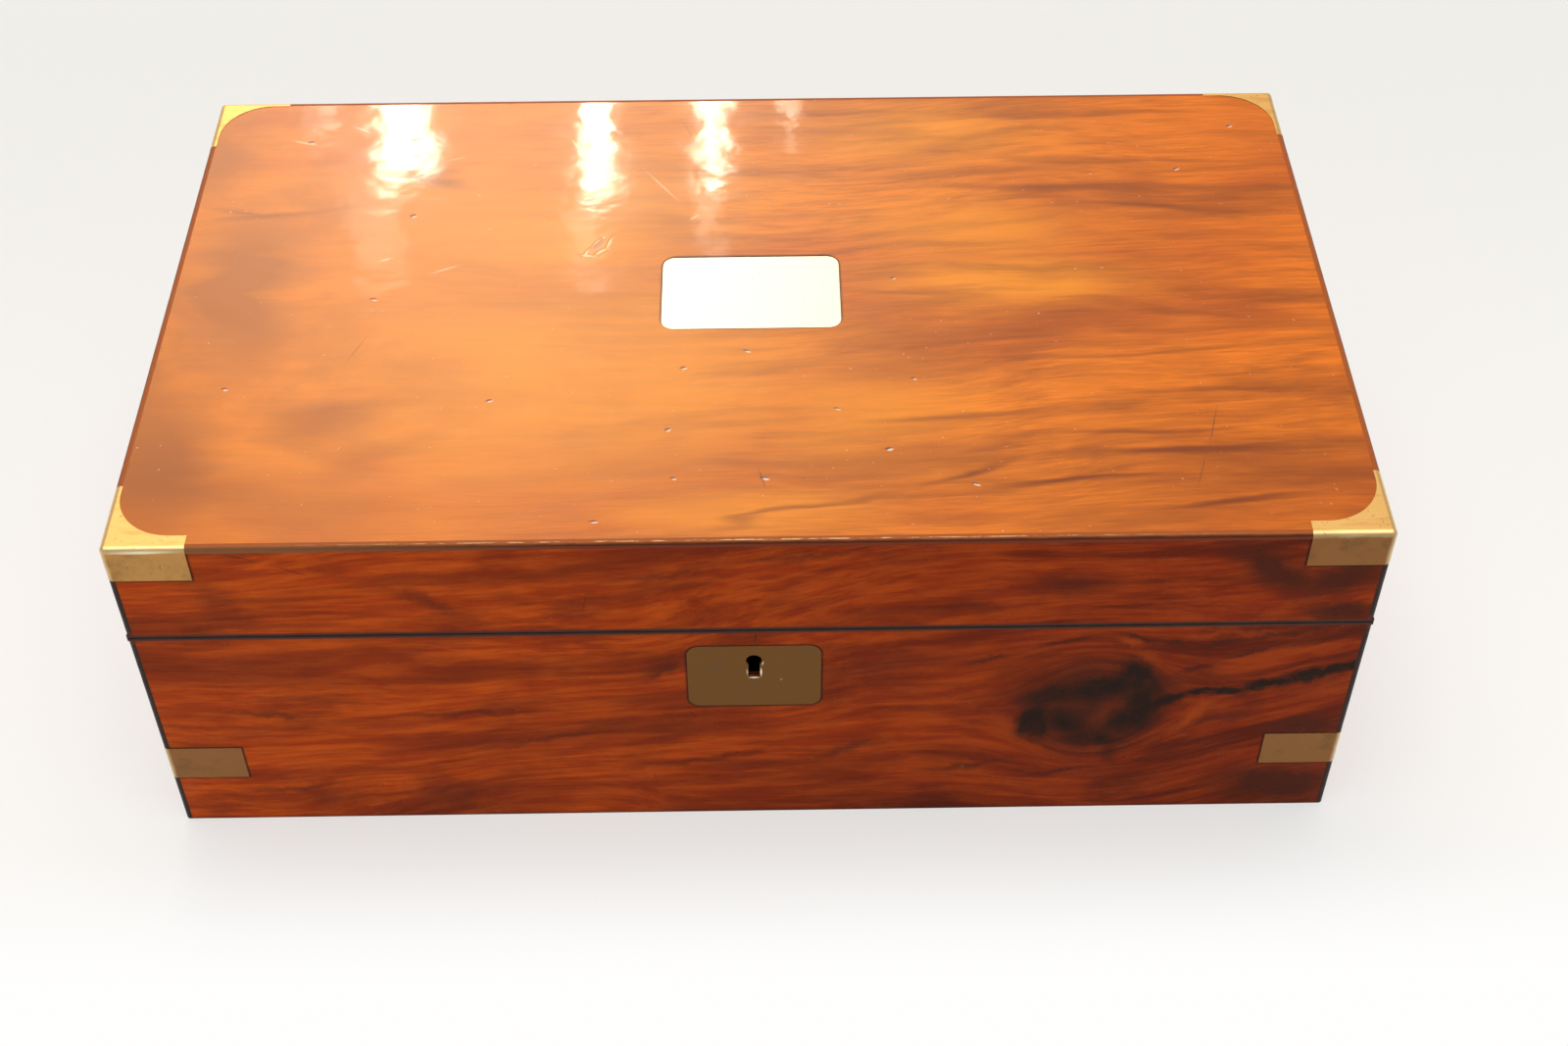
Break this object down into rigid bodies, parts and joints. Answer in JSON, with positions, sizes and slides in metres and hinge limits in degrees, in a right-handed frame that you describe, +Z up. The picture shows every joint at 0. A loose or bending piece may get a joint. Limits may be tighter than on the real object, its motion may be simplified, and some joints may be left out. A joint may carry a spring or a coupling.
{
  "type": "writing slope",
  "caption": "Brass-bound wooden writing box, cut on a slant, that opens on back hinges to a sloping leather writing surface over paper, pen and ink compartments.",
  "frame": {"origin": "middle of the underside of the base", "axes": "+X to the right seen from the keyhole, +Y from the keyhole front to the hinged back, +Z up"},
  "size_m": [0.4574, 0.2699, 0.1572],
  "materials": {
    "polished_walnut": "French polished, glossy",
    "inner_mahogany": "thin satin polish",
    "ebonised_wood": "satin black",
    "brass": "polished, lightly worn",
    "writing_leather": "smooth, gold tooled border",
    "well_glass": "clear, cut and polished",
    "bolt_steel": "filed bright"
  },
  "bodies": {
    "base": {"base_bottom": "inner_mahogany", "base_front": "polished_walnut", "base_back": "polished_walnut", "base_left": "polished_walnut", "base_right": "polished_walnut", "base_rim_facing": "ebonised_wood", "base_corner_stringing": "ebonised_wood", "base_corner_strap_front_left": "brass", "base_corner_strap_front_right": "brass", "base_corner_strap_back_left": "brass", "base_corner_strap_back_right": "brass", "keyhole_plate": "brass", "lock_case": "brass", "base_screws": "brass", "base_hinge_leaf_left": "brass", "base_hinge_leaf_right": "brass", "main_hinge_pins": "brass", "pen_zone_shelf": "inner_mahogany", "pen_zone_divider": "inner_mahogany", "drawer_partition": "inner_mahogany", "ink_bay_partition_left": "inner_mahogany", "ink_bay_partition_right": "inner_mahogany", "pen_tray": "inner_mahogany", "inkwell_glass_left": "well_glass", "inkwell_glass_right": "well_glass", "inkwell_collar_left": "brass", "inkwell_collar_right": "brass", "inkwell_cap_pins": "brass", "base_flap_ledges": "inner_mahogany", "upper_flap_pins": "brass"},
    "lid": {"lid_top": "polished_walnut", "lid_front": "polished_walnut", "lid_back": "polished_walnut", "lid_left": "polished_walnut", "lid_right": "polished_walnut", "lid_rim_facing": "ebonised_wood", "lid_edge_stringing": "ebonised_wood", "lid_corner_front_left": "brass", "lid_corner_front_right": "brass", "lid_corner_back_left": "brass", "lid_corner_back_right": "brass", "name_plate": "brass", "link_plate": "brass", "link_staples": "brass", "lid_screws": "brass", "lid_hinge_leaf_left": "brass", "lid_hinge_leaf_right": "brass", "lid_flap_ledges": "inner_mahogany", "lower_flap_pins": "brass"},
    "upper_flap": {"upper_flap_board": "polished_walnut", "upper_flap_leather": "writing_leather"},
    "lower_flap": {"lower_flap_board": "polished_walnut", "lower_flap_leather": "writing_leather"},
    "left_ink_cap": {"inkwell_cap_left": "brass"},
    "right_ink_cap": {"inkwell_cap_right": "brass"},
    "left_drawer": {"drawer_left": "inner_mahogany", "drawer_knob_left": "brass"},
    "right_drawer": {"drawer_right": "inner_mahogany", "drawer_knob_right": "brass"},
    "lock_bolt_slide": {"lock_bolt": "bolt_steel"}
  },
  "joints": [
    {"name": "lid_hinge", "type": "hinge", "parent": "base", "child": "lid", "pos_m": [0, 0.134, 0.0785], "axis": [-1, 0, 0], "range_deg": [0, 180]},
    {"name": "upper_flap_hinge", "type": "hinge", "parent": "base", "child": "upper_flap", "pos_m": [0, 0.12031, 0.07744], "axis": [-1, 0, 0], "range_deg": [0, 90]},
    {"name": "lower_flap_hinge", "type": "hinge", "parent": "lid", "child": "lower_flap", "pos_m": [0, 0.12093, 0.08271], "axis": [1, 0, 0], "range_deg": [0, 90]},
    {"name": "left_ink_cap_hinge", "type": "hinge", "parent": "base", "child": "left_ink_cap", "pos_m": [-0.1995, -0.1176, 0.0762], "axis": [1, 0, 0], "range_deg": [0, 90]},
    {"name": "right_ink_cap_hinge", "type": "hinge", "parent": "base", "child": "right_ink_cap", "pos_m": [0.1995, -0.1176, 0.0762], "axis": [1, 0, 0], "range_deg": [0, 90]},
    {"name": "left_drawer_slide", "type": "slide", "parent": "base", "child": "left_drawer", "axis": [0, 1, 0], "range_m": [0, 0.038]},
    {"name": "right_drawer_slide", "type": "slide", "parent": "base", "child": "right_drawer", "axis": [0, 1, 0], "range_m": [0, 0.038]},
    {"name": "lock_bolt_throw", "type": "slide", "parent": "base", "child": "lock_bolt_slide", "axis": [1, 0, 0], "range_m": [0, 0.006]}
  ],
  "couplings": [
    {"joint": "upper_flap_hinge", "follows": "lid_hinge", "ratio": 0.5},
    {"joint": "lower_flap_hinge", "follows": "lid_hinge", "ratio": 0.5}
  ]
}
